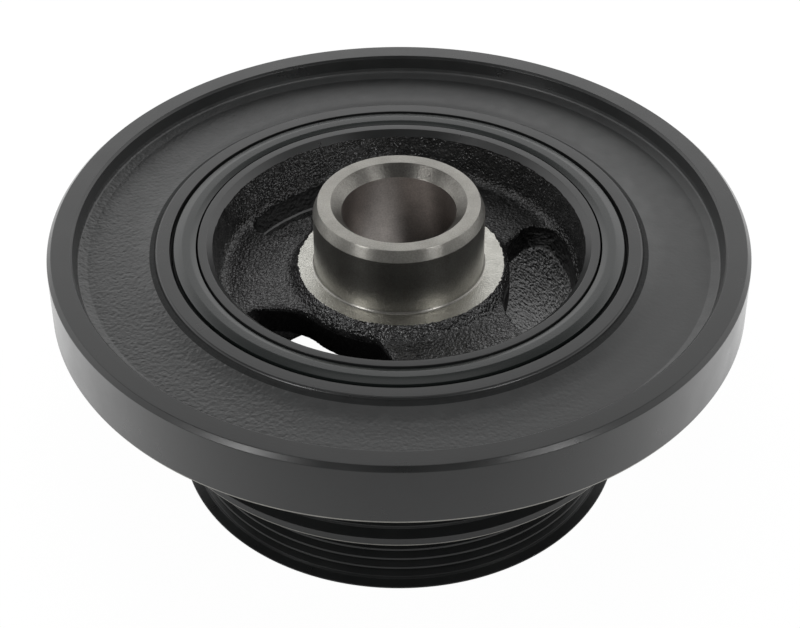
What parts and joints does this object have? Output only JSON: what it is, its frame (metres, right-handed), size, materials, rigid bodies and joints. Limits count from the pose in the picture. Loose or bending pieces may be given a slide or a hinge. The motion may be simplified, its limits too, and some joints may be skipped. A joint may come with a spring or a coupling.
{
  "type": "crankshaft pulley",
  "caption": "Crankshaft pulley with torsional damper: cast hub with long bored seal nose and spider windows, rubber ring, heavy inertia ring, ribbed belt tracks below the rim.",
  "frame": {"origin": "centre of the front face, on the bore axis, where the part rests", "axes": "+Z along the bore axis, out of the nose towards the engine; X and Y across the pulley"},
  "size_m": [0.196, 0.196, 0.086],
  "materials": {
    "hub": "rough black-painted casting with a bare fine-turned nose and shoulder",
    "inertia_ring": "satin black paint over turned faces and a pitted cast face",
    "damping_ring": "satin moulded rubber"
  },
  "bodies": {
    "root": {"hub": "hub", "inertia_ring": "inertia_ring", "damping_ring": "damping_ring"}
  },
  "joints": []
}
